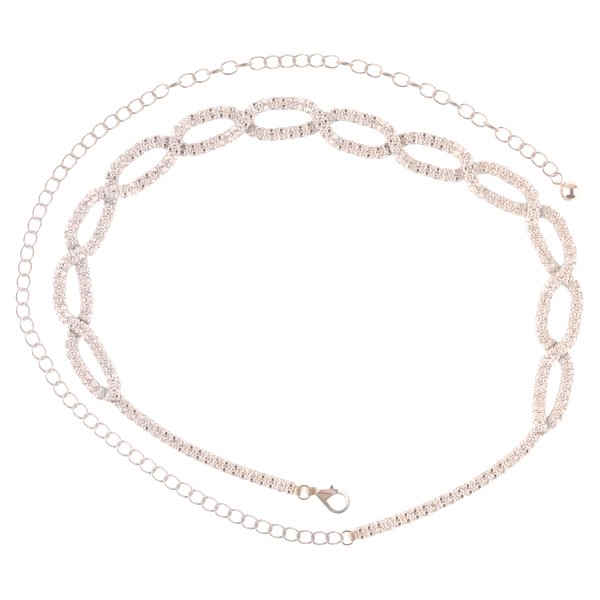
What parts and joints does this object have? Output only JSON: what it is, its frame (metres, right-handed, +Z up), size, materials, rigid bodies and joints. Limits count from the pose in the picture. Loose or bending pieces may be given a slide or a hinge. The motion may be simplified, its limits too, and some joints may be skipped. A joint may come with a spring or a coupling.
{
  "type": "waist chain",
  "caption": "Waist chain of two interlaced rhinestone strips forming open oval loops, with a lobster clasp and a long link extension chain ending in a ball.",
  "frame": {"origin": "centre of the bounding box in plan, on the surface that the chain lies on", "axes": "+Z up, +X towards the right end of the loop as the picture shows it, +Y towards the top of the picture"},
  "size_m": [0.239, 0.2068, 0.0089],
  "materials": {
    "settings": "polished rose-gold plate set with clear faceted stones",
    "end_loops": "polished rose-gold plate",
    "rings": "polished rose-gold plate",
    "clasp": "polished rose-gold plate",
    "lever": "polished rose-gold plate",
    "links": "polished rose-gold plate",
    "ball": "mirror-polished rose-gold plate"
  },
  "bodies": {
    "chain": {"strand_a": "settings", "strand_b": "settings", "strap_left": "settings", "strap_right": "settings", "end_loop_left": "end_loops", "end_loop_right": "end_loops", "ring_left": "rings", "ring_right": "rings", "clasp_hook": "clasp", "clasp_pin": "clasp", "chain_near": "links", "chain_far": "links", "ball_ring": "rings", "ball": "ball"},
    "lever": {"clasp_lever": "lever"}
  },
  "joints": [
    {"name": "lever_hinge", "type": "hinge", "parent": "chain", "child": "lever", "pos_m": [0.00873, -0.08193, 0.0013], "axis": [0, 0, -1], "range_deg": [0, 20], "stiffness_Nm_per_rad": 0.01, "springref_deg": -34.38}
  ]
}
